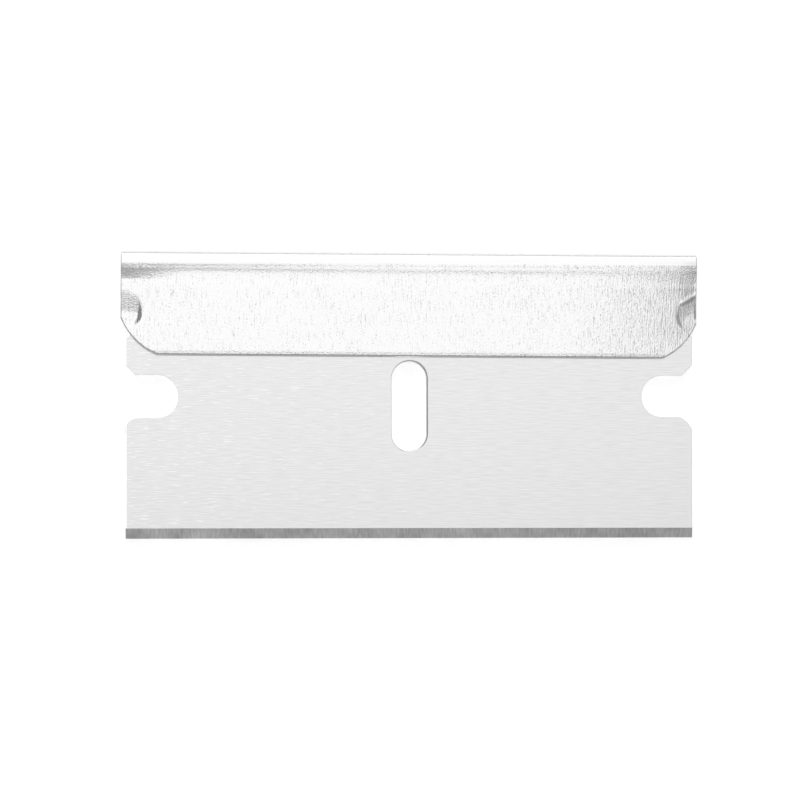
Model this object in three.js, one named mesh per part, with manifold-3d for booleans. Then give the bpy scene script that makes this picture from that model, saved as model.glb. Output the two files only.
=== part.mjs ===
// Single-edge scraper blade: a ground steel strip held in a folded aluminium back.
// Millimetres. X runs along the cutting edge, Y from the edge to the back, Z through the thickness.

import * as THREE from 'three';
import { mergeVertices } from 'three/addons/utils/BufferGeometryUtils.js';
import Module from 'manifold-3d';

const wasm = await Module();
wasm.setup();

// Whole part: height at mid-length, from the cutting edge to the top of the fold
const OVERALL_HEIGHT = 19.14;

// Blade strip, with one ground facet on each face
const BLADE_LENGTH = 38.1;
const BLADE_THICKNESS = 0.23;
const BEVEL_HEIGHT = 0.66;

// Slot for the stud of a holder, its ends a little flatter than half round; drop from the fold to its middle
const SLOT_WIDTH = 2.45;
const SLOT_LENGTH = 6.15;
const SLOT_END_RISE = 1.02;
const SLOT_DROP = 10.26;

// Locating notch in each end: round inside, 45 degree lead-in above, rounded corner below
const NOTCH_DEPTH = 3.5;
const NOTCH_WIDTH = 2.96;
const NOTCH_DROP = 9.61;
const NOTCH_LEAD_IN = 0.69;
const NOTCH_CORNER = 0.84;

// Folded back, and the play that the crimp leaves on each face of the blade
const SHEET_THICKNESS = 0.36;
const BACK_DEPTH = 6.96;
const BACK_OVERHANG = 0.38;
const CRIMP_PLAY = 0.015;
const LEG_EDGE_ROLL = 0.2;

// Fold, as thick as the legs, the gap that it leaves above the blade, and the crease coined below it:
// drop from the fold to its deepest line, and its runs on the fold side and the leg side
const FOLD_GAP = 0.3;
const CREASE_DROP = 1.2;
const CREASE_DEPTH = 0.04;
const CREASE_FOLD_RUN = 0.48;
const CREASE_LEG_RUN = 0.6;

// Crimping leaves the back this far out of parallel with the edge; zero makes it true
const BACK_SKEW_DEG = -0.57;

// Lower corners of the back, cut to an arc that meets the end and the leg edge at an angle
const CORNER_RUN = 2.48;
const CORNER_RADIUS = 4.5;

// Stakes: a half-round dent in each end of each leg, pressed towards a hidden notch in the blade
const STAKE_RADIUS = 1.45;
const STAKE_DROP = 4.08;
const STAKE_SINK = 0.26;
const STAKE_FULLNESS = 0.45;
const STAKE_WALL = 0.22;
const STAKE_GAP = 0.04;
const STAKE_NOTCH_PLAY = 0.1;

// Colours and finishes
const STEEL = { color: 0xe4e4e4, metalness: 1, roughness: 0.28 };
const ALUMINIUM = { color: 0xf0f0f0, metalness: 1, roughness: 0.42 };

// Fineness of curves, and how far a cutter stands clear of what it cuts
const ARC_STEPS = 14;
const FOLD_STEPS = 8;
const ROLL_STEPS = 3;
const STAKE_STEPS = 48;
const STAKE_RINGS = 9;
const CUT_CLEAR = 1;

// Sizes that follow from the ones above
const halfLength = BLADE_LENGTH / 2;
const halfBlade = BLADE_THICKNESS / 2;
const backHalfLength = halfLength + BACK_OVERHANG;
const legInner = halfBlade + CRIMP_PLAY;
const legOuter = legInner + SHEET_THICKNESS;
const legEdge = OVERALL_HEIGHT - BACK_DEPTH;
const foldCentre = OVERALL_HEIGHT - legOuter;
const creaseHeight = OVERALL_HEIGHT - CREASE_DROP;
const slotHeight = OVERALL_HEIGHT - SLOT_DROP;
const notchHeight = OVERALL_HEIGHT - NOTCH_DROP;
const bladeTop = OVERALL_HEIGHT - SHEET_THICKNESS - FOLD_GAP;
const stakeHeight = OVERALL_HEIGHT - STAKE_DROP;
const stakeBulge = legInner - STAKE_GAP / 2;

// A closed solid from any geometry, so that solids can be cut and joined
function solidOf(geometry) {
  geometry.deleteAttribute('normal');
  geometry.deleteAttribute('uv');
  const welded = mergeVertices(geometry, 1e-5);
  const vertProperties = new Float32Array(welded.attributes.position.array);
  const triVerts = new Uint32Array(welded.index.array);
  return new wasm.Manifold(new wasm.Mesh({ numProp: 3, vertProperties, triVerts }));
}

// A flat-shaded mesh from a finished solid
function meshOf(name, solid, finish) {
  const { vertProperties, triVerts } = solid.getMesh();
  const indexed = new THREE.BufferGeometry();
  indexed.setAttribute('position', new THREE.BufferAttribute(new Float32Array(vertProperties), 3));
  indexed.setIndex(new THREE.BufferAttribute(new Uint32Array(triVerts), 1));
  const geometry = indexed.toNonIndexed();
  geometry.computeVertexNormals();
  const mesh = new THREE.Mesh(geometry, new THREE.MeshStandardMaterial(finish));
  mesh.name = name;
  return mesh;
}

// A section drawn in Y and Z, run along X and longer than the part, to be trimmed to an outline
function strip(section, length) {
  const depth = length + 2 * CUT_CLEAR;
  const geometry = new THREE.ExtrudeGeometry(section, { depth, bevelEnabled: false });
  geometry.translate(0, 0, -depth / 2);
  const acrossStrip = new THREE.Vector3(0, 1, 0);
  const throughStrip = new THREE.Vector3(0, 0, 1);
  const alongStrip = new THREE.Vector3(1, 0, 0);
  geometry.applyMatrix4(new THREE.Matrix4().makeBasis(acrossStrip, throughStrip, alongStrip));
  return solidOf(geometry);
}

// An outline drawn in X and Y, punched through the whole thickness
function punch(outline) {
  const depth = 2 * (legOuter + CUT_CLEAR);
  const geometry = new THREE.ExtrudeGeometry(outline, { depth, bevelEnabled: false });
  geometry.translate(0, 0, -depth / 2);
  return solidOf(geometry);
}

// Points of the +X side, followed by their mirror image
function bothEnds(points) {
  const mirrored = points.map((p) => new THREE.Vector2(-p.x, p.y)).reverse();
  return new THREE.Shape([...points, ...mirrored]);
}

// Blade section: parallel faces brought to the cutting edge by two facets
function bladeSection() {
  const section = new THREE.Shape();
  section.moveTo(0, 0);
  section.lineTo(BEVEL_HEIGHT, -halfBlade);
  section.lineTo(OVERALL_HEIGHT, -halfBlade);
  section.lineTo(OVERALL_HEIGHT, halfBlade);
  section.lineTo(BEVEL_HEIGHT, halfBlade);
  section.closePath();
  return section;
}

// Blade outline: the end notches, and above them the notches that the stakes lock into
function bladeOutline() {
  const endRadius = NOTCH_WIDTH / 2;
  const low = notchHeight - endRadius;
  const high = notchHeight + endRadius;
  const endCentre = halfLength - NOTCH_DEPTH + endRadius;
  const stakeNotch = STAKE_RADIUS + STAKE_NOTCH_PLAY;
  const reach = Math.acos(BACK_OVERHANG / stakeNotch);

  const side = new THREE.Path();
  side.moveTo(halfLength, -CUT_CLEAR);
  side.lineTo(halfLength, low - NOTCH_CORNER);
  side.absarc(halfLength - NOTCH_CORNER, low - NOTCH_CORNER, NOTCH_CORNER, 0, Math.PI / 2, false);
  side.absarc(endCentre, notchHeight, endRadius, Math.PI * 1.5, Math.PI / 2, true);
  side.lineTo(halfLength - NOTCH_LEAD_IN, high);
  side.lineTo(halfLength, high + NOTCH_LEAD_IN);
  side.absarc(backHalfLength, stakeHeight, stakeNotch, Math.PI + reach, Math.PI - reach, true);
  side.lineTo(halfLength, bladeTop);
  return bothEnds(side.getPoints(ARC_STEPS));
}

// Slot outline: straight sides between two arcs that rise less than half round
function slotOutline() {
  const halfWidth = SLOT_WIDTH / 2;
  const radius = (halfWidth ** 2 + SLOT_END_RISE ** 2) / (2 * SLOT_END_RISE);
  const spread = Math.asin(halfWidth / radius);
  const upperCentre = slotHeight + SLOT_LENGTH / 2 - radius;
  const lowerCentre = slotHeight - SLOT_LENGTH / 2 + radius;

  const slot = new THREE.Path();
  slot.absarc(0, upperCentre, radius, Math.PI / 2 - spread, Math.PI / 2 + spread, false);
  slot.absarc(0, lowerCentre, radius, Math.PI * 1.5 - spread, Math.PI * 1.5 + spread, false);
  return new THREE.Shape(slot.getPoints(ARC_STEPS));
}

// Half of the fold's round, on the inside or the outside of the sheet
function foldArc(path, radius) {
  path.absarc(foldCentre, 0, radius, Math.PI / 2, 0, true);
  return path.getPoints(FOLD_STEPS);
}

// Outer leg edge, rolled off by the shear
function rolledEdge() {
  const edge = new THREE.Path();
  edge.moveTo(legEdge, legInner);
  edge.lineTo(legEdge, legOuter - LEG_EDGE_ROLL);
  edge.quadraticCurveTo(legEdge, legOuter, legEdge + LEG_EDGE_ROLL, legOuter);
  return edge.getPoints(ROLL_STEPS);
}

// Outer face from the leg over the crease to the top of the fold
function creasedFace() {
  const bottom = legOuter - CREASE_DEPTH;
  const legEnd = creaseHeight - CREASE_LEG_RUN;
  const legBend = creaseHeight - CREASE_LEG_RUN / 2;
  const foldBend = creaseHeight + CREASE_FOLD_RUN / 2;
  const foldEnd = creaseHeight + CREASE_FOLD_RUN;
  const face = new THREE.Path();
  face.moveTo(legEnd, legOuter);
  face.bezierCurveTo(legBend, legOuter, legBend, bottom, creaseHeight, bottom);
  face.bezierCurveTo(foldBend, bottom, foldBend, legOuter, foldEnd, legOuter);
  return foldArc(face, legOuter);
}

// Back section: a sheet folded in two
function backSection() {
  const outer = [...rolledEdge(), ...creasedFace()];
  const gap = new THREE.Path();
  gap.moveTo(legEdge, legInner);
  gap.lineTo(foldCentre, legInner);
  const inner = foldArc(gap, legInner).slice(1).reverse();
  const otherLeg = (points) => points.map((p) => new THREE.Vector2(p.x, -p.y)).reverse();
  return new THREE.Shape([
    ...outer,
    ...otherLeg(outer).slice(1),
    ...otherLeg(inner),
    ...inner.slice(1),
  ]);
}

// Back outline: square above, arc-cut corners below
function backOutline() {
  const halfChord = CORNER_RUN * Math.SQRT1_2;
  const halfTurn = Math.asin(halfChord / CORNER_RADIUS);
  const inset = CORNER_RUN / 2 + CORNER_RADIUS * Math.cos(halfTurn) * Math.SQRT1_2;
  const centreX = backHalfLength - inset;
  const centreY = legEdge + inset;

  const side = new THREE.Path();
  side.moveTo(backHalfLength - CORNER_RUN, legEdge - CUT_CLEAR);
  side.lineTo(backHalfLength - CORNER_RUN, legEdge);
  side.absarc(centreX, centreY, CORNER_RADIUS, -Math.PI / 4 - halfTurn, -Math.PI / 4 + halfTurn, false);
  side.lineTo(backHalfLength, OVERALL_HEIGHT + CUT_CLEAR);
  return bothEnds(side.getPoints(ARC_STEPS));
}

// A round nose about Z: the given radius at its mouth, the given depth in the middle
function nose(radius, depth) {
  const profile = [];
  for (let i = 0; i < STAKE_RINGS; i += 1) {
    const turn = (i / STAKE_RINGS) * (Math.PI / 2);
    profile.push(new THREE.Vector2(radius * Math.sin(turn), -depth * Math.cos(turn) ** STAKE_FULLNESS));
  }
  profile.push(new THREE.Vector2(radius, 0));
  profile.push(new THREE.Vector2(radius, SHEET_THICKNESS / 2));
  profile.push(new THREE.Vector2(0, SHEET_THICKNESS / 2));
  const geometry = new THREE.LatheGeometry(profile, STAKE_STEPS);
  geometry.rotateX(Math.PI / 2);
  return geometry;
}

// A nose at every end of every leg, its mouth at the given distance from mid-thickness
function atEachStake(radius, depth, offset) {
  const placed = [];
  for (const end of [1, -1]) {
    for (const leg of [1, -1]) {
      const geometry = nose(radius, depth);
      geometry.rotateX(leg > 0 ? 0 : Math.PI);
      geometry.translate(end * backHalfLength, stakeHeight, leg * offset);
      placed.push(solidOf(geometry));
    }
  }
  return placed;
}

// Blade: ground strip, trimmed to its outline, slot punched
const blade = strip(bladeSection(), BLADE_LENGTH)
  .intersect(punch(bladeOutline()))
  .subtract(punch(slotOutline()));

// Back: folded strip, raised inside at each stake, trimmed to its outline, dented outside
let back = strip(backSection(), 2 * backHalfLength);
for (const bulge of atEachStake(STAKE_RADIUS - STAKE_WALL, stakeBulge, legInner)) {
  back = back.add(bulge);
}
back = back.intersect(punch(backOutline()));
for (const dent of atEachStake(STAKE_RADIUS, STAKE_SINK, legOuter)) {
  back = back.subtract(dent);
}

// Assembly: the back turns by its skew about its own middle
const bladeMesh = meshOf('steel_blade', blade, STEEL);
const backMesh = meshOf('folded_back', back, ALUMINIUM);
const backMiddle = OVERALL_HEIGHT - BACK_DEPTH / 2;
backMesh.geometry.translate(0, -backMiddle, 0);
backMesh.position.y = backMiddle;
backMesh.rotation.z = THREE.MathUtils.degToRad(BACK_SKEW_DEG);

const part = new THREE.Group();
part.name = 'single_edge_blade';
part.add(bladeMesh, backMesh);

// Origin: middle of the part, on the surface that it lies on
const bounds = new THREE.Box3().setFromObject(part, true);
const middle = bounds.getCenter(new THREE.Vector3());
part.position.set(-middle.x, -middle.y, -bounds.min.z);

export default part;
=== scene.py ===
import math

import bmesh
import bpy
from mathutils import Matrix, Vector


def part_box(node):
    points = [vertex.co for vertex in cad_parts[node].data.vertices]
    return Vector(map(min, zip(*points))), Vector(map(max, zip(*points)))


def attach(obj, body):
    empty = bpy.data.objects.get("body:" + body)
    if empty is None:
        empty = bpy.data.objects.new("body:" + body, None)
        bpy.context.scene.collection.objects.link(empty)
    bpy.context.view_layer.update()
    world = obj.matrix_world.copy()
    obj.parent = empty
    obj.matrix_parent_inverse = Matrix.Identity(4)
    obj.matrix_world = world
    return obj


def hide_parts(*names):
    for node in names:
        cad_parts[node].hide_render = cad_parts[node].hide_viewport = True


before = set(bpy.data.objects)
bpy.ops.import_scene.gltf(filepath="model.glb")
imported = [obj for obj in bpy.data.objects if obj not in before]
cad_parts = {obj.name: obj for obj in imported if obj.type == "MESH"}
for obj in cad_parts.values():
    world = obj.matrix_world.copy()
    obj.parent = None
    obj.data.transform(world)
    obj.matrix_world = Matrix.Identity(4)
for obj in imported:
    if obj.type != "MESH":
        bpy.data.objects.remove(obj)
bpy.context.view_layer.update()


# Blade: a strip of hardened carbon steel, cold rolled to 0.23 mm, punched with a slot for a
# holder's stud and a notch in each end, and ground to an edge from both faces. Its top third
# is clamped inside the folded back, where two small hidden notches take the staked dents.
MM = 0.001
LEFT, RIGHT = -1, 1
BLADE_LENGTH = 38.1 * MM
END_SHIFTS = {LEFT: -0.08 * MM, RIGHT: -0.04 * MM}  # of each sheared end off its nominal place
BEVEL_HEIGHT = 0.68 * MM
BEVEL_SLOPE = 0.001  # how much taller the facet gets along the edge, to the left
EDGE_LAND = 0.006 * MM
SLOT_WIDTH = 2.32 * MM
SLOT_LENGTH = 5.99 * MM
SLOT_END_RISE = 1.02 * MM
SLOT_MIDDLE = 8.87 * MM
SLOT_SHIFT = -0.055 * MM
NOTCH_INNER_ENDS = {LEFT: 15.55 * MM, RIGHT: 15.61 * MM}
NOTCH_WIDTHS = {LEFT: 2.9 * MM, RIGHT: 2.78 * MM}
NOTCH_MIDDLES = {LEFT: 9.58 * MM, RIGHT: 9.51 * MM}
NOTCH_LEAD_IN = 0.69 * MM
NOTCH_CORNER = 0.86 * MM
NOTCH_CORNER_PROFILES = {LEFT: 0.5, RIGHT: 0.36}
NOTCH_CORNER_FACETS = 14
STAKE_MIDDLE = 15.06 * MM
STAKE_NOTCH = 1.55 * MM
BACK_OVERHANG = 0.38 * MM
PUNCH_DEPTH = 2 * MM
PUNCH_RUN = 6 * MM
PUNCH_FACETS = 128
FULL_ROLL = 0.14 * MM  # what an edge of weight 1 would get
EDGE_ROLL = 0.021 * MM
SLOT_ROLL = 0.115 * MM
SLOT_ROLL_RISES = (0.2, 0.55, 0.82, 0.97)  # shares of the roll's height that part its rings
SLOT_DRAW = (0.0225 * MM, 0.003 * MM, 0)  # of each ring past the one below it
LEFT_RIM = 0.1 * MM
LEFT_RIM_THICKNESS = 0.93  # as a share of the strip's
BLADE_CREASE_ANGLE = math.radians(40)
TINY = 1e-7
HAIR = 1e-6
CLOSE = 1e-5

blade_low, blade_high = (Vector(corner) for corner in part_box("steel_blade"))
blade_middle = (blade_low + blade_high) / 2
blade_size = blade_high - blade_low
blade_ends = {s: blade_middle.x + s * BLADE_LENGTH / 2 + END_SHIFTS[s] for s in (LEFT, RIGHT)}
shoulder = blade_low.y + BEVEL_HEIGHT
slot_x = blade_middle.x + SLOT_SHIFT
slot_middle = Vector((slot_x, blade_low.y + SLOT_MIDDLE, blade_middle.z))


def pick(kind, test):
    """Selects, in edit mode, only the vertices, edges or faces that pass the test."""
    bpy.ops.mesh.select_mode(type=kind)
    bpy.ops.mesh.select_all(action="DESELECT")
    mesh = bmesh.from_edit_mesh(bpy.context.object.data)
    for item in {"VERT": mesh.verts, "EDGE": mesh.edges, "FACE": mesh.faces}[kind]:
        if not item.hide and test(item):
            item.select_set(True)
    mesh.select_flush_mode()
    bmesh.update_edit_mesh(bpy.context.object.data)


def cut(place, away, **settings):
    """Cuts the whole mesh, in edit mode, along the plane through the place that faces away."""
    bpy.ops.mesh.select_all(action="SELECT")
    bpy.ops.mesh.bisect(plane_co=place, plane_no=away, threshold=TINY, **settings)


def finish_with(piece, kind, **settings):
    """Gives the piece a modifier and applies it."""
    modifier = piece.modifiers.new(kind.lower(), kind)
    for name, value in settings.items():
        setattr(modifier, name, value)
    bpy.context.view_layer.objects.active = piece
    bpy.ops.object.modifier_apply(modifier=modifier.name)


def punch(piece, tool):
    """Cuts the tool's shape out of the piece and throws the tool away."""
    bpy.ops.object.mode_set(mode="OBJECT")
    finish_with(piece, "BOOLEAN", operation="DIFFERENCE", solver="EXACT", object=tool)
    bpy.data.objects.remove(tool)
    bpy.ops.object.select_all(action="DESELECT")
    piece.select_set(True)


def round_tool(x, y, radius, stretch):
    """A round punch in edit mode, one half of it moved out so that its sides run straight."""
    middle = Vector((x, y, blade_middle.z))
    bpy.ops.object.select_all(action="DESELECT")
    bpy.ops.mesh.primitive_cylinder_add(
        vertices=PUNCH_FACETS, radius=radius, depth=PUNCH_DEPTH, location=middle
    )
    bpy.ops.object.transform_apply()
    bpy.ops.object.mode_set(mode="EDIT")
    away = stretch.normalized() if stretch.length else Vector()
    pick("VERT", lambda v: (v.co - middle).dot(away) > TINY)
    bpy.ops.transform.translate(value=stretch)
    return bpy.context.object


# Strip, brought to its edge by a facet on each face that is a little taller at the left
bpy.ops.object.select_all(action="DESELECT")
bpy.ops.mesh.primitive_cube_add(size=1, location=blade_middle, scale=blade_size)
blade = bpy.context.object
blade.name = "ground_blade"
bpy.ops.object.transform_apply()
bpy.ops.object.mode_set(mode="EDIT")
cut((0, shoulder, 0), (BEVEL_SLOPE, 1, 0))
cut((slot_x, 0, 0), (1, 0, 0))
pick("FACE", lambda f: f.normal.y < -0.9)
bpy.ops.transform.resize(
    value=(1, 1, EDGE_LAND / blade_size.z), center_override=blade_middle
)
for side in (LEFT, RIGHT):
    pick("FACE", lambda f: f.normal.x * side > 0.9)
    bpy.ops.transform.translate(value=(END_SHIFTS[side], 0, 0))
bpy.ops.object.mode_set(mode="OBJECT")

# Slot
slot_half = SLOT_WIDTH / 2
slot_radius = (slot_half**2 + SLOT_END_RISE**2) / (2 * SLOT_END_RISE)
slot_top = blade_low.y + SLOT_MIDDLE + SLOT_LENGTH / 2 - slot_radius
slot_run = Vector((0, 2 * slot_radius - SLOT_LENGTH, 0))
slot_tool = round_tool(slot_x, slot_top, slot_radius, slot_run)
bpy.ops.mesh.select_all(action="SELECT")
bpy.ops.transform.resize(
    value=(slot_half / slot_radius, 1, 1), center_override=(slot_x, 0, 0)
)
punch(blade, slot_tool)

# Notches in the ends, and the hidden ones that the stakes lock into
for side in (LEFT, RIGHT):
    notch_half = NOTCH_WIDTHS[side] / 2
    notch_x = blade_middle.x + side * (NOTCH_INNER_ENDS[side] + notch_half)
    notch_y = blade_low.y + NOTCH_MIDDLES[side]
    punch(blade, round_tool(notch_x, notch_y, notch_half, Vector((side * PUNCH_RUN, 0, 0))))
    stake_x = blade_middle.x + side * (BLADE_LENGTH / 2 + BACK_OVERHANG)
    stake_y = blade_low.y + STAKE_MIDDLE
    punch(blade, round_tool(stake_x, stake_y, STAKE_NOTCH, Vector()))


def mouth_corner(edge, side, way):
    """True for the upright edge above or below the mouth of that end's notch."""
    a, b = (v.co for v in edge.verts)
    y = blade_low.y + NOTCH_MIDDLES[side] + way * NOTCH_WIDTHS[side] / 2
    at_end = abs(a.x - blade_ends[side]) < CLOSE and abs(a.y - y) < CLOSE
    return at_end and abs(a.z - b.z) > 0.9 * blade_size.z


# Notch mouths: a lead-in chamfer above, a rounded corner below
bpy.ops.object.mode_set(mode="EDIT")
for side in (LEFT, RIGHT):
    pick("EDGE", lambda e: mouth_corner(e, side, 1))
    bpy.ops.mesh.bevel(offset=NOTCH_LEAD_IN, segments=1, affect="EDGES", clamp_overlap=False)
    pick("EDGE", lambda e: mouth_corner(e, side, -1))
    bpy.ops.mesh.bevel(
        offset=NOTCH_CORNER,
        segments=NOTCH_CORNER_FACETS,
        profile=NOTCH_CORNER_PROFILES[side],
        affect="EDGES",
        clamp_overlap=False,
    )


def weigh(test, weight):
    """Adds to the picked edges' share of the full roll that the bevel cuts."""
    pick("EDGE", test)
    bpy.ops.transform.edge_bevelweight(value=weight)


def roll_edges(piece, width, segments):
    """Rolls the weighted edges of the piece over, by their share of the width."""
    finish_with(
        piece,
        "BEVEL",
        limit_method="WEIGHT",
        width=width,
        segments=segments,
        use_clamp_overlap=False,
        loop_slide=False,
    )


def rim(edge):
    """True for an edge between the front or rear face and a punched or sheared wall."""
    lift = sorted(abs(f.normal.z) for f in edge.link_faces)
    return len(lift) == 2 and lift[0] < 0.1 and lift[1] > 0.999


def clear_of_left_end(edge):
    """True for an edge that does not lie in the left end's wall."""
    return any(v.co.x > blade_ends[LEFT] + HAIR for v in edge.verts)


def at_slot(place):
    """True for a place on the front half of the slot's wall or rim."""
    away = place - slot_middle
    reach = Vector((SLOT_WIDTH, SLOT_LENGTH, 0)) / 2 + Vector((1, 1, 0)) * 2 * SLOT_ROLL
    return abs(away.x) < reach.x and abs(away.y) < reach.y and away.z > 0


# The sheared edges are barely rolled; the punch has drawn the slot's right rim down most
edge_share = EDGE_ROLL / FULL_ROLL
slot_share = SLOT_ROLL / FULL_ROLL
weigh(lambda e: rim(e) and clear_of_left_end(e), edge_share)
weigh(lambda e: rim(e) and all(at_slot(v.co) for v in e.verts), slot_share - edge_share)
bpy.ops.object.mode_set(mode="OBJECT")
roll_edges(blade, FULL_ROLL, 4)
bpy.ops.object.mode_set(mode="EDIT")
for rise in SLOT_ROLL_RISES:
    level = blade_high.z - (1 - rise) * SLOT_ROLL
    pick("VERT", lambda v: at_slot(v.co) and v.co.z > level)
    bpy.ops.transform.translate(value=SLOT_DRAW)

# The shear has drawn the left end down to a narrow rim, which is given a painted highlight below
cut((blade_ends[LEFT] + LEFT_RIM, 0, 0), (1, 0, 0))
pick("VERT", lambda v: v.co.x < blade_ends[LEFT] + HAIR)
bpy.ops.transform.resize(
    value=(1, 1, LEFT_RIM_THICKNESS),
    center_override=blade_middle,
    use_proportional_edit=True,
    use_proportional_connected=False,
    proportional_edit_falloff="LINEAR",
    proportional_size=LEFT_RIM,
)
bpy.ops.object.mode_set(mode="OBJECT")
bpy.ops.object.shade_smooth_by_angle(angle=BLADE_CREASE_ANGLE)
bpy.ops.object.mode_set(mode="EDIT")
pick("FACE", lambda f: abs(f.normal.z) > 0.98)
bpy.ops.mesh.faces_shade_flat()
bpy.ops.object.mode_set(mode="OBJECT")


def linear(hex_colour):
    """An sRGB hex colour as linear red, green, blue and alpha."""
    parts = [int(hex_colour[i : i + 2], 16) / 255 for i in (0, 2, 4)]
    return [p / 12.92 if p <= 0.04045 else ((p + 0.055) / 1.055) ** 2.4 for p in parts] + [1]


def node(tree, kind, settings=None, **sockets):
    """Adds a node. A socket takes a number, a colour or another node's output."""
    new = tree.nodes.new(kind)
    for name, value in (settings or {}).items():
        setattr(new, name, value)
    for name, value in sockets.items():
        key = int(name[1:]) if name[0] == "_" else name.replace("_", " ")
        if isinstance(value, bpy.types.NodeSocket):
            tree.links.new(value, new.inputs[key])
        else:
            new.inputs[key].default_value = value
    return new


def metal(name, colour, roughness):
    """A bare metal: its material, tree and shader, and the piece's own coordinates."""
    material = bpy.data.materials.new(name)
    material.use_nodes = True
    tree = material.node_tree
    shader = tree.nodes["Principled BSDF"]
    shader.inputs["Base Color"].default_value = linear(colour)
    shader.inputs["Metallic"].default_value = 1
    shader.inputs["Roughness"].default_value = roughness
    place = node(tree, "ShaderNodeTexCoord").outputs["Object"]
    return material, tree, shader, place


def work_surface(tree, shader, share, dark, light, height, depth):
    """Tones a metal from dark to light by one pattern's share and cuts another's height into it."""
    tone = node(tree, "ShaderNodeMix", {"data_type": "RGBA"}, _0=share, _6=dark, _7=light)
    tree.links.new(tone.outputs[2], shader.inputs["Base Color"])
    relief = node(tree, "ShaderNodeBump", Strength=1.0, Distance=depth, Height=height)
    tree.links.new(relief.outputs[0], shader.inputs["Normal"])


def assign(piece, slot, test):
    """Gives the faces that pass the test the material in that slot of the piece."""
    pick("FACE", test)
    piece.active_material_index = slot
    bpy.ops.object.material_slot_assign()


# Cold-rolled carbon steel: the rolls leave fine lines along the strip, 1.2 mm long and drawn coarse
# enough to show, 15 to the millimetre. Where a roll skidded there are short bright dashes, which
# give the face a silky streak; crowding them at the left is painted light, a lighter left side that
# stands in for the reflection there. All scales are counts to the millimetre.
strip_steel, tree, shader, place = metal("cold_rolled_carbon_steel", "E8E8E8", 0.25)
line_map = node(tree, "ShaderNodeMapping", Vector=place, Scale=(0.85 / MM, 15 / MM, 1))
lines = node(tree, "ShaderNodeTexNoise", Vector=line_map.outputs[0], Scale=1.0, Detail=3.0)
dash_map = node(tree, "ShaderNodeMapping", Vector=place, Scale=(1.1 / MM, 11 / MM, 1))
dashes = node(tree, "ShaderNodeTexNoise", Vector=dash_map.outputs[0], Scale=1.0, Detail=1.0)
lengthwise = node(tree, "ShaderNodeSeparateXYZ", Vector=place)
# Dashes grow fewer from left to right: painted light, so the left of the face is lighter
rarer = node(
    tree,
    "ShaderNodeMapRange",
    Value=lengthwise.outputs["X"],
    From_Min=-19 * MM,
    From_Max=10 * MM,
    To_Min=0.62,
    To_Max=0.74,
)
sparse = node(
    tree,
    "ShaderNodeMath",
    {"operation": "SUBTRACT"},
    _0=dashes.outputs[0],
    _1=rarer.outputs[0],
)
dash = node(tree, "ShaderNodeMapRange", Value=sparse.outputs[0], From_Max=0.08)
tone = node(tree, "ShaderNodeMapRange", Value=lines.outputs[0], From_Min=0.3, From_Max=0.7)
lined = node(
    tree,
    "ShaderNodeMix",
    {"data_type": "RGBA"},
    _0=tone.outputs[0],
    _6=linear("E7E7E7"),
    _7=linear("F2F2F2"),
)
work_surface(
    tree,
    shader,
    share=dash.outputs[0],
    dark=lined.outputs[2],
    light=linear("FDFDFD"),
    height=lines.outputs[0],
    depth=0.0006 * MM,
)

# Ground carbon steel: the wheel leaves scratches square to the edge, 0.6 mm long and drawn coarse
# enough to show, 7 to the millimetre, in patches of 1 to 2 mm, so the facet is duller and more
# uneven than the strip
ground_steel, tree, shader, place = metal("ground_carbon_steel", "D6D6D6", 0.38)
scratch_map = node(tree, "ShaderNodeMapping", Vector=place, Scale=(7 / MM, 1.6 / MM, 1))
scratch = node(tree, "ShaderNodeTexNoise", Vector=scratch_map.outputs[0], Scale=1.0, Detail=3.0)
patch = node(tree, "ShaderNodeTexNoise", Vector=place, Scale=0.6 / MM, Detail=2.0)
worn = node(
    tree,
    "ShaderNodeMath",
    {"operation": "ADD"},
    _0=scratch.outputs[0],
    _1=patch.outputs[0],
)
wear = node(tree, "ShaderNodeMapRange", Value=worn.outputs[0], From_Min=0.6, From_Max=1.4)
work_surface(
    tree,
    shader,
    share=wear.outputs[0],
    dark=linear("BEBEBE"),
    light=linear("FAFAFA"),
    height=scratch.outputs[0],
    depth=0.002 * MM,
)

# Sheared carbon steel: the shear has left the rim of the left end smoother than the strip, with
# strokes through it, 10 to the millimetre, as a faint ripple; its near-white colour is a painted
# highlight, so the rim shows as a bright line
sheared_steel, tree, shader, place = metal("sheared_carbon_steel", "FAFAFA", 0.15)
stroke_map = node(tree, "ShaderNodeMapping", Vector=place, Scale=(1 / MM, 10 / MM, 1 / MM))
strokes = node(tree, "ShaderNodeTexNoise", Vector=stroke_map.outputs[0], Scale=1.0, Detail=2.0)
work_surface(
    tree,
    shader,
    share=strokes.outputs[0],
    dark=linear("F4F4F4"),
    light=linear("FFFFFF"),
    height=strokes.outputs[0],
    depth=0.0006 * MM,
)


def on_facet(face):
    """True for a face of the ground edge."""
    return face.calc_center_median().y < shoulder and abs(face.normal.x) < 0.5


def on_left_rim(face):
    """True for a face of the rim that the shear has drawn down."""
    middle = face.calc_center_median()
    at_end = middle.x < blade_ends[LEFT] + LEFT_RIM and middle.y > shoulder
    return at_end and abs(face.normal.z) > 0.5


for material in (strip_steel, ground_steel, sheared_steel):
    blade.data.materials.append(material)
bpy.ops.object.mode_set(mode="EDIT")
assign(blade, 1, on_facet)
# The left end's rim gets the near-white steel, a painted highlight
assign(blade, 2, on_left_rim)
bpy.ops.object.mode_set(mode="OBJECT")
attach(blade, "root")
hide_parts("steel_blade")


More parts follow.
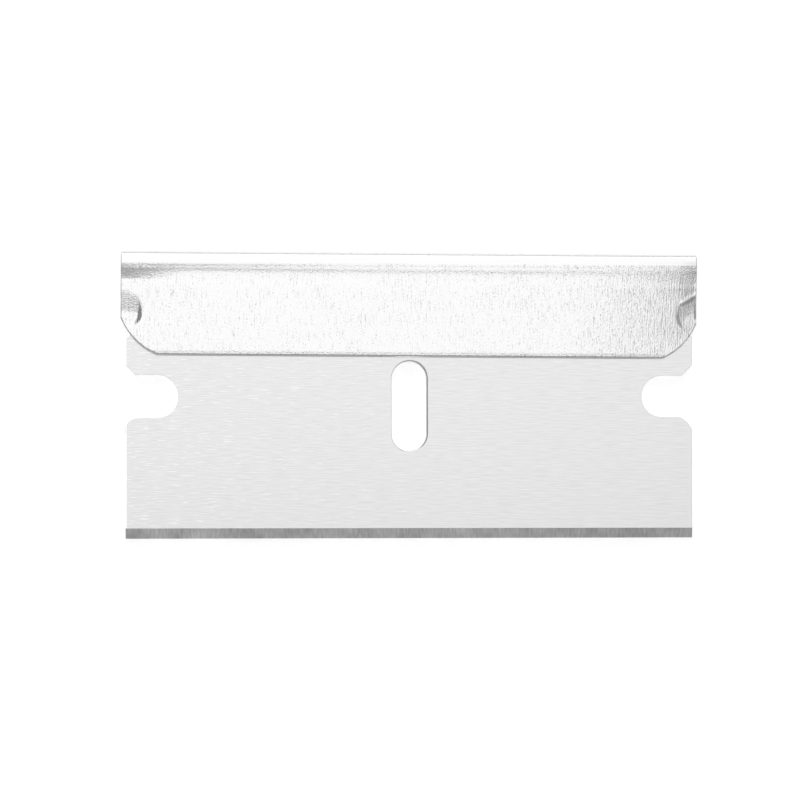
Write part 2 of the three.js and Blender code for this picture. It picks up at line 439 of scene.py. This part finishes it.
# Back: a strip of bright aluminium sheet, 0.36 mm thick, folded over the top of the blade, creased
# below the fold by the crimping tool, and staked into the blade by a round dent at each end of
# each leg. Its lower corners are cut to an arc, and it sits a little out of parallel with the edge.
FRONT, REAR = 1, -1
SHEET = 0.36 * MM
LEG_OUTER = 0.49 * MM
BACK_HALF = 19.384 * MM
BACK_SHIFT = -0.046 * MM
BACK_MIDDLE = 15.66 * MM
BACK_SKEW = math.radians(-0.57)
LEG_EDGE = -3.48 * MM
LEG_ROLL = 0.15 * MM
FOLD_TOP = 3.58 * MM
FOLD_STEPS = 28
CORNER_RUNS = {LEFT: 2.48 * MM, RIGHT: 2.34 * MM}
CORNER_RADIUS = 4.5 * MM
CORNER_CUTS = 16
BACK_CREASE_ANGLE = math.radians(50)
fold_axis = FOLD_TOP - LEG_OUTER

# Front leg, fold and rear leg as one sheet
bpy.ops.object.select_all(action="DESELECT")
bpy.ops.mesh.primitive_plane_add(
    size=1, location=(0, (LEG_EDGE + fold_axis) / 2, LEG_OUTER)
)
back = bpy.context.object
back.name = "folded_sheet_back"
back.scale = (2 * BACK_HALF, fold_axis - LEG_EDGE, 1)
bpy.ops.object.transform_apply()
bpy.ops.object.mode_set(mode="EDIT")
pick("EDGE", lambda e: all(v.co.y > fold_axis - TINY for v in e.verts))
bpy.ops.mesh.spin(
    steps=FOLD_STEPS, angle=math.pi, center=(0, fold_axis, 0), axis=(1, 0, 0)
)
bpy.ops.mesh.extrude_region_move(
    TRANSFORM_OT_translate={"value": (0, LEG_EDGE - fold_axis, 0)}
)
bpy.ops.mesh.select_all(action="SELECT")
bpy.ops.mesh.remove_doubles(threshold=HAIR)


def corner(side):
    """The middle of a corner's arc and half the angle that it turns through."""
    run = CORNER_RUNS[side]
    half_turn = math.asin(run * math.sqrt(0.5) / CORNER_RADIUS)
    inset = run / 2 + CORNER_RADIUS * math.cos(half_turn) * math.sqrt(0.5)
    return Vector((side * (BACK_HALF - inset), LEG_EDGE + inset, 0)), half_turn


# Lower corners cut to their arcs
for side in (LEFT, RIGHT):
    centre, half_turn = corner(side)
    for step in range(CORNER_CUTS):
        turn = -math.pi / 4 + half_turn * (2 * (step + 0.5) / CORNER_CUTS - 1)
        away = Vector((side * math.cos(turn), math.sin(turn), 0))
        cut(centre + away * CORNER_RADIUS, away, clear_outer=True)
bpy.ops.mesh.select_all(action="SELECT")
bpy.ops.mesh.normals_make_consistent(inside=False)
bpy.ops.object.mode_set(mode="OBJECT")
finish_with(back, "SOLIDIFY", thickness=SHEET, offset=-1, use_even_offset=True)
bpy.ops.object.mode_set(mode="EDIT")


def outer_edge(edge):
    """True for an outside edge of the sheet."""
    if len(edge.link_faces) != 2 or edge.calc_face_angle() < 1:
        return False
    middle = (edge.verts[0].co + edge.verts[1].co) / 2
    return abs(middle.z) > LEG_OUTER - HAIR or middle.y > fold_axis


def left_end(edge):
    """True for an edge of the left end."""
    return all(v.co.x < -BACK_HALF + HAIR for v in edge.verts)


def arc(edge):
    """True for an edge of a corner's arc, which runs neither along the sheet nor square to it."""
    run = (edge.verts[0].co - edge.verts[1].co).normalized()
    return abs(run.x) > 0.01 and abs(run.y) > 0.01 and abs(run.z) < 0.01


def foot(edge):
    """True for an edge along the foot of a leg."""
    return all(v.co.y < LEG_EDGE + HAIR for v in edge.verts)


def left_arc(edge):
    """True for an edge of a left corner's arc."""
    return arc(edge) and edge.verts[0].co.x < 0


# The shares of the roll add up: least at the right end, most along the feet and the left arcs
weigh(outer_edge, 0.4)
weigh(lambda e: outer_edge(e) and left_end(e), 0.2)
weigh(lambda e: outer_edge(e) and (arc(e) or foot(e)), 0.2)
weigh(lambda e: outer_edge(e) and (foot(e) or left_arc(e)), 0.4)
bpy.ops.object.mode_set(mode="OBJECT")
roll_edges(back, LEG_ROLL, 6)
bpy.ops.object.mode_set(mode="EDIT")


def spread(first, last, gap):
    """Places from the first to the last, that many millimetres apart."""
    start, stop, stride = (round(100 * length) for length in (first, last, gap))
    return [place / 100 for place in range(start, stop + 1, stride)]


# Rows and columns, close together where the dents and the crease will be pressed
columns = spread(-16.1, 16.1, 0.7)
columns += [side * x for side in (LEFT, RIGHT) for x in spread(16.52, 19.4, 0.06)]
rows = spread(-3.3, -2.34, 0.08) + spread(-2.3, 3.04, 0.06)
for x in columns:
    cut((x * MM, 0, 0), (1, 0, 0))
for y in rows:
    cut((0, y * MM, 0), (0, 1, 0))


def press(leg, test, depth, reach, falloff="SMOOTH"):
    """Pushes the picked part of a leg's face in, and what lies within reach of it along.

    All lengths are millimetres. Places are from the back's middle, x to the right and y up.
    """
    pick("VERT", lambda v: test(v.co.x / MM, v.co.y / MM))
    bpy.ops.transform.translate(
        value=(0, 0, -leg * depth * MM),
        use_proportional_edit=True,
        use_proportional_connected=False,
        proportional_edit_falloff=falloff,
        proportional_size=reach * MM,
    )


def stages(first, stride, count):
    """The limits, one stride apart, at which a stroke is repeated."""
    return [first + stride * step for step in range(count)]


def show_only(test):
    """Hides all but the vertices that pass the test, so that a stroke leaves the rest alone."""
    bpy.ops.mesh.reveal()
    pick("VERT", test)
    bpy.ops.mesh.hide(unselected=True)


def outer(place, leg):
    """True for a place on the outside of that leg or of its half of the fold."""
    bend = math.hypot(place.y - fold_axis, place.z) > 0.4 * MM and place.z * leg > 0.1 * MM
    return place.z * leg > 0.3 * MM or (bend and place.y > fold_axis)


def on_face(x, y):
    """True for a place on the face that the roll round the outline does not reach."""
    centre, _ = corner(RIGHT if x > 0 else LEFT)
    past = Vector((abs(x) * MM - abs(centre.x), y * MM - centre.y))
    cut_off = past.x > 0 and past.y < 0 and past.length > CORNER_RADIUS - LEG_ROLL - TINY
    return abs(x) * MM < BACK_HALF - LEG_ROLL / 2 and not cut_off


def smooth_out(test, times):
    """Levels the small steps that pressing in stages leaves in a part of the outer face."""
    pick("VERT", lambda v: on_face(v.co.x / MM, v.co.y / MM) and test(v.co.x / MM, v.co.y / MM))
    bpy.ops.mesh.vertices_smooth(factor=0.5, repeat=times, xaxis=False, yaxis=False)


def oval(x, y, middle, half_width, half_height):
    """True inside an upright ellipse of that size about its middle."""
    return ((x - middle[0]) / half_width) ** 2 + ((y - middle[1]) / half_height) ** 2 < 1


def along(start, end, width):
    """A test for places within that width of the line between two points."""
    run = Vector((end[0] - start[0], end[1] - start[1]))

    def test(x, y):
        share = Vector((x - start[0], y - start[1])).dot(run) / run.length_squared
        share = min(1, max(0, share))
        return math.hypot(x - start[0] - share * run.x, y - start[1] - share * run.y) < width

    return test


CREASE_FOOT, CREASE_FLOOR, CREASE_SLOPE, CREASE_TOP = 1.6, 1.9, 2.12, 2.5


def press_crease(leg):
    """Presses the crease below the fold in steps, deeper to the left and shallower to the right."""
    press(leg, lambda x, y: CREASE_FOOT < y < CREASE_TOP, depth=0.011, reach=0.26)
    press(leg, lambda x, y: CREASE_FOOT < y < CREASE_SLOPE, depth=0.022, reach=0.42)
    press(leg, lambda x, y: CREASE_FOOT < y < CREASE_FLOOR, depth=0.008, reach=0.4)
    for left in stages(-18.8, 3.4, 6):
        press(leg, lambda x, y: x < left and 1.5 < y < 2.26, depth=0.004, reach=0.5)
    for right in stages(10, 2.2, 4):
        for top, reach in ((CREASE_TOP, 0.26), (CREASE_SLOPE, 0.42)):
            press(leg, lambda x, y: x > right and CREASE_FOOT < y < top, depth=-0.002, reach=reach)


def draw_down(leg):
    """Draws the ends down round their stakes, the right one most, and the foot along its roll."""
    for left, right in zip(stages(-18.9, 0.8, 5), stages(18.9, -1.2, 5)):
        press(leg, lambda x, y: x < left and -0.6 < y < 1.3, depth=0.016, reach=1.2)
        press(leg, lambda x, y: x < left and -1 < y < 0.9, depth=0.003, reach=1.6)
        press(leg, lambda x, y: x > right and -1.8 < y < 0.8, depth=0.008, reach=1.4)
    press(leg, lambda x, y: x > 19.2 and -1.8 < y < 0.9, depth=0.12, reach=4.5, falloff="SHARP")
    press(leg, lambda x, y: x > 19.2 and 0.3 < y < 2.2, depth=0.06, reach=1.5, falloff="SHARP")
    press(leg, lambda x, y: y < -3.3, depth=0.012, reach=0.2)


LEFT_DENT = (-19.85, -0.55)
LEFT_DENT_HALF_WIDTH = 1.7
LEFT_DENT_RISE = 2.2
LEFT_DENT_DROP = 1.3
LEFT_DENT_STAGES = 24


def left_dent(x, y):
    """True inside the outline of the left dent, which is taller above its middle than below."""
    half_height = LEFT_DENT_RISE if y > LEFT_DENT[1] else LEFT_DENT_DROP
    return oval(x, y, LEFT_DENT, LEFT_DENT_HALF_WIDTH, half_height)


def press_left_stake(leg):
    """Presses a thumbnail dent, steep towards the middle, that runs out softly above and below."""
    tops = stages(0.82, -0.065, LEFT_DENT_STAGES)
    bottoms = stages(-1.6, 0.035, LEFT_DENT_STAGES)
    for top, bottom in zip(tops, bottoms):
        press(
            leg,
            lambda x, y: left_dent(x, y) and bottom < y < top - 0.3 * (x + 19.4),
            depth=0.00575,
            reach=0.3,
        )
    smooth_out(lambda x, y: x < -17.6 and -2.2 < y < 1.6, 5)
    smooth_out(lambda x, y: x < -18.5 and -1.6 < y < 1.3, 12)


RIGHT_DENT = (19.8, -0.5)
RIGHT_DENT_HALF_WIDTH = 1.66
RIGHT_DENT_HALF_HEIGHT = 1.3
RIGHT_DENT_STAGES = 4
LIP_INNER, LIP_OUTER = (18.33, 0.28), (19.5, 0.95)
LIP_SLOPE = 0.57


def under_lip(x, drop):
    """The height that far below the torn lip of the right stake."""
    return LIP_INNER[1] + LIP_SLOPE * (x - LIP_INNER[0]) - drop


def right_dent(x, y):
    """True inside the outline of the right dent."""
    return oval(x, y, RIGHT_DENT, RIGHT_DENT_HALF_WIDTH, RIGHT_DENT_HALF_HEIGHT)


def press_right_stake(leg):
    """Presses a flatter dent, torn to a raised lip above, its rim curled down at the end."""
    drops = stages(0.32, 0.26, RIGHT_DENT_STAGES)
    bottoms = stages(-1.5, 0.25, RIGHT_DENT_STAGES)
    for drop, bottom in zip(drops, bottoms):
        press(
            leg,
            lambda x, y: right_dent(x, y) and bottom < y < under_lip(x, drop),
            depth=0.016,
            reach=0.2,
        )
    smooth_out(lambda x, y: x > 17.6 and -2.2 < y < 1, 3)
    press(leg, along(LIP_OUTER, LIP_INNER, 0.05), depth=-0.024, reach=0.17)
    press(leg, lambda x, y: x > 19.3 and -0.7 < y < 0.2, depth=0.025, reach=0.12)


# Outside, the crease and the stakes; inside, the bulges of the stakes into the blade's notches,
# where those of the two legs almost meet
BULGE = (19.85, -0.6)
BULGE_HALF_WIDTH = 0.95
BULGE_HALF_HEIGHT = 0.85
for leg in (FRONT, REAR):
    show_only(lambda v: outer(v.co, leg))
    press_crease(leg)
    draw_down(leg)
    press_left_stake(leg)
    press_right_stake(leg)
    show_only(lambda v: 0.05 * MM < v.co.z * leg < LEG_OUTER - SHEET + HAIR)
    press(
        leg,
        lambda x, y: oval(abs(x), y, BULGE, BULGE_HALF_WIDTH, BULGE_HALF_HEIGHT),
        depth=0.1,
        reach=0.5,
    )
bpy.ops.mesh.reveal()
bpy.ops.object.mode_set(mode="OBJECT")
bpy.ops.object.shade_smooth_by_angle(angle=BACK_CREASE_ANGLE)
finish_with(back, "WEIGHTED_NORMAL", mode="FACE_AREA", keep_sharp=True)
back.location = (blade_middle.x + BACK_SHIFT, blade_low.y + BACK_MIDDLE, blade_middle.z)
back.rotation_euler.z = BACK_SKEW
bpy.ops.object.transform_apply()

# Bright rolled aluminium: a grained sheet with rolling lines up the leg, 0.9 mm long and 11 to the
# millimetre, in cleaner and duller patches of 3 mm. So the flat is near white with a fine speckle,
# which shows most where the face turns from the light and where the grain is coarser, at the right.
aluminium, tree, shader, place = metal("bright_rolled_aluminium", "F3F3F3", 0.15)
streak_map = node(tree, "ShaderNodeMapping", Vector=place, Scale=(11 / MM, 1.1 / MM, 1))
streaks = node(tree, "ShaderNodeTexNoise", Vector=streak_map.outputs[0], Scale=1.0, Detail=2.0)
grain_map = node(tree, "ShaderNodeMapping", Vector=place, Scale=(12 / MM, 10 / MM, 12 / MM))
grain = node(tree, "ShaderNodeTexNoise", Vector=grain_map.outputs[0], Scale=1.0, Detail=2.0)
both = node(
    tree,
    "ShaderNodeMath",
    {"operation": "ADD"},
    _0=streaks.outputs[0],
    _1=grain.outputs[0],
)
clean = node(tree, "ShaderNodeTexNoise", Vector=place, Scale=0.33 / MM, Detail=1.0)
cleaner = node(
    tree,
    "ShaderNodeMath",
    {"operation": "MULTIPLY_ADD"},
    _0=clean.outputs[0],
    _1=0.22,
    _2=both.outputs[0],
)
pits = node(tree, "ShaderNodeMapRange", Value=cleaner.outputs[0], From_Min=0.72, From_Max=1.02)
lengthwise = node(tree, "ShaderNodeSeparateXYZ", Vector=place)
coarser = node(
    tree,
    "ShaderNodeMapRange",
    Value=lengthwise.outputs["X"],
    From_Min=10 * MM,
    From_Max=19 * MM,
    To_Min=0.0085 * MM,
    To_Max=0.017 * MM,
)
work_surface(
    tree,
    shader,
    share=pits.outputs[0],
    dark=linear("C6C6C6"),
    light=linear("F5F5F5"),
    height=both.outputs[0],
    depth=coarser.outputs[0],
)

# Aluminium with a painted highlight: the band along the fold is given a whiter colour, painted light
# that stands in for what the fold's curve reflects, with faint lines along it, 3 mm long and 9 to
# the millimetre
fold_highlight_aluminium, tree, shader, place = metal("aluminium_painted_highlight", "F8F8F8", 0.2)
rub_map = node(tree, "ShaderNodeMapping", Vector=place, Scale=(0.3 / MM, 9 / MM, 9 / MM))
rubbed = node(tree, "ShaderNodeTexNoise", Vector=rub_map.outputs[0], Scale=1.0, Detail=2.0)
work_surface(
    tree,
    shader,
    share=rubbed.outputs[0],
    dark=linear("F6F6F6"),
    light=linear("FCFCFC"),
    height=rubbed.outputs[0],
    depth=0.001 * MM,
)

# The band of the painted highlight, from its lower to its upper height above the back's middle
PAINTED_HIGHLIGHT_HEIGHTS = (2.77 * MM, 3.44 * MM)
back_y = blade_low.y + BACK_MIDDLE
highlight_low, highlight_high = (back_y + height for height in PAINTED_HIGHLIGHT_HEIGHTS)


def on_painted_highlight_band(face):
    """True for a face in the band along the fold that gets the painted highlight; the band is skewed
    as the back is.
    """
    middle = face.calc_center_median()
    return highlight_low < middle.y - math.tan(BACK_SKEW) * middle.x < highlight_high


for material in (aluminium, fold_highlight_aluminium):
    back.data.materials.append(material)
bpy.ops.object.mode_set(mode="EDIT")
assign(back, 1, on_painted_highlight_band)
bpy.ops.object.mode_set(mode="OBJECT")
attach(back, "root")
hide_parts("folded_back")


# Studio: a matt white table under one large soft box that hangs over the left and the far side.
# Two dim boxes beside it turn what faces the near or the right side grey, and four upright panels
# stand round the table, the far one brightest. Lengths here are metres.
TABLE_SIZE = 6
TABLE_DROP = 0.02 * MM
TABLE_GLOW = 0.55
bpy.ops.object.select_all(action="DESELECT")
bpy.ops.mesh.primitive_plane_add(size=TABLE_SIZE, location=(0, 0, -TABLE_DROP))
table = bpy.context.object
table.name = "table"

# Matt white: it takes soft shadows, and shows white to the eye and in the metal
table_white = bpy.data.materials.new("matt_white_table")
table_white.use_nodes = True
tree = table_white.node_tree
tree.nodes.remove(tree.nodes["Principled BSDF"])
seen = node(tree, "ShaderNodeLightPath")
eye = node(
    tree,
    "ShaderNodeMath",
    {"operation": "MAXIMUM"},
    _0=seen.outputs["Is Camera Ray"],
    _1=seen.outputs["Is Glossy Ray"],
)
seen_white = node(
    tree,
    "ShaderNodeMath",
    {"operation": "MAXIMUM"},
    _0=eye.outputs[0],
    _1=seen.outputs["Is Transmission Ray"],
)
strength = node(
    tree,
    "ShaderNodeMath",
    {"operation": "MULTIPLY"},
    _0=seen_white.outputs[0],
    _1=TABLE_GLOW,
)
matt = node(tree, "ShaderNodeBsdfDiffuse", Color=linear("F2F2F2"))
glow = node(tree, "ShaderNodeEmission", Strength=strength.outputs[0])
added = node(tree, "ShaderNodeAddShader", _0=matt.outputs[0], _1=glow.outputs[0])
tree.links.new(added.outputs[0], tree.nodes["Material Output"].inputs["Surface"])
table.data.materials.append(table_white)


def soft_box(name, low, high, height, radiance):
    """A level lamp that spans from low to high in X and Y, as bright all over as its radiance."""
    lamp = bpy.data.lights.new(name, "AREA")
    lamp.shape = "RECTANGLE"
    lamp.size = high[0] - low[0]
    lamp.size_y = high[1] - low[1]
    lamp.energy = math.pi * lamp.size * lamp.size_y * radiance
    holder = bpy.data.objects.new(name, lamp)
    holder.location = ((low[0] + high[0]) / 2, (low[1] + high[1]) / 2, height)
    bpy.context.scene.collection.objects.link(holder)
    return holder


BOX_HEIGHT = 0.6


def slant(degrees):
    """How far off the middle a box's edge hangs that is seen that many degrees off the zenith."""
    return BOX_HEIGHT * math.tan(math.radians(degrees))


# Boxes: the angles of the left, near, right and far edges, and the radiance
for name, left, near, right, far, radiance in (
    ("soft_box", -30, -8, 15.5, 60, 0.87),
    ("near_box", -40, -45, 16, -8, 0.14),
    ("right_box", 15.5, -8, 62, 60, 0.1),
):
    low, high = (slant(left), slant(near)), (slant(right), slant(far))
    soft_box(name, low, high, BOX_HEIGHT, radiance)

# Panels: the turn about the table, half the height, the middle's height and the radiance
PANEL_DISTANCE = 1.3
PANEL_HALF_WIDTH = 1.3
for name, turn, half_height, middle, radiance in (
    ("far_panel", 0, 0.41, 0.57, 0.74),
    ("left_panel", 90, 0.32, 0.42, 0.32),
    ("near_panel", 180, 0.32, 0.42, 0.32),
    ("right_panel", 270, 0.32, 0.42, 0.32),
):
    low, high = (-PANEL_HALF_WIDTH, -half_height), (PANEL_HALF_WIDTH, half_height)
    panel = soft_box(name, low, high, middle, radiance)
    about = math.radians(turn)
    panel.location = (-PANEL_DISTANCE * math.sin(about), PANEL_DISTANCE * math.cos(about), middle)
    panel.rotation_euler = (math.radians(-90), 0, about)

ROOM_LIGHT = 0.22
world = bpy.data.worlds.new("studio")
bpy.context.scene.world = world
world.use_nodes = True
world.node_tree.nodes["Background"].inputs["Color"].default_value = linear("FFFFFF")
world.node_tree.nodes["Background"].inputs["Strength"].default_value = ROOM_LIGHT
bpy.context.scene.view_settings.view_transform = "Standard"


# Camera: straight above the blade with a long lens, as the photograph was taken, a little off the
# blade's middle and turned by a fraction of a degree
CAMERA_DISTANCE = 0.25
CAMERA_SHIFT = (-0.647 * MM, -0.367 * MM)
CAMERA_TURN = math.radians(-0.142)
VIEW_WIDTH = 53.836 * MM
lens = bpy.data.cameras.new("camera")
lens.sensor_width = 36
lens.lens = lens.sensor_width * CAMERA_DISTANCE / VIEW_WIDTH
lens.clip_start = 0.01
camera = bpy.data.objects.new("camera", lens)
camera.location = (*CAMERA_SHIFT, blade_high.z + CAMERA_DISTANCE)
camera.rotation_euler.z = CAMERA_TURN
bpy.context.scene.collection.objects.link(camera)
bpy.context.scene.camera = camera
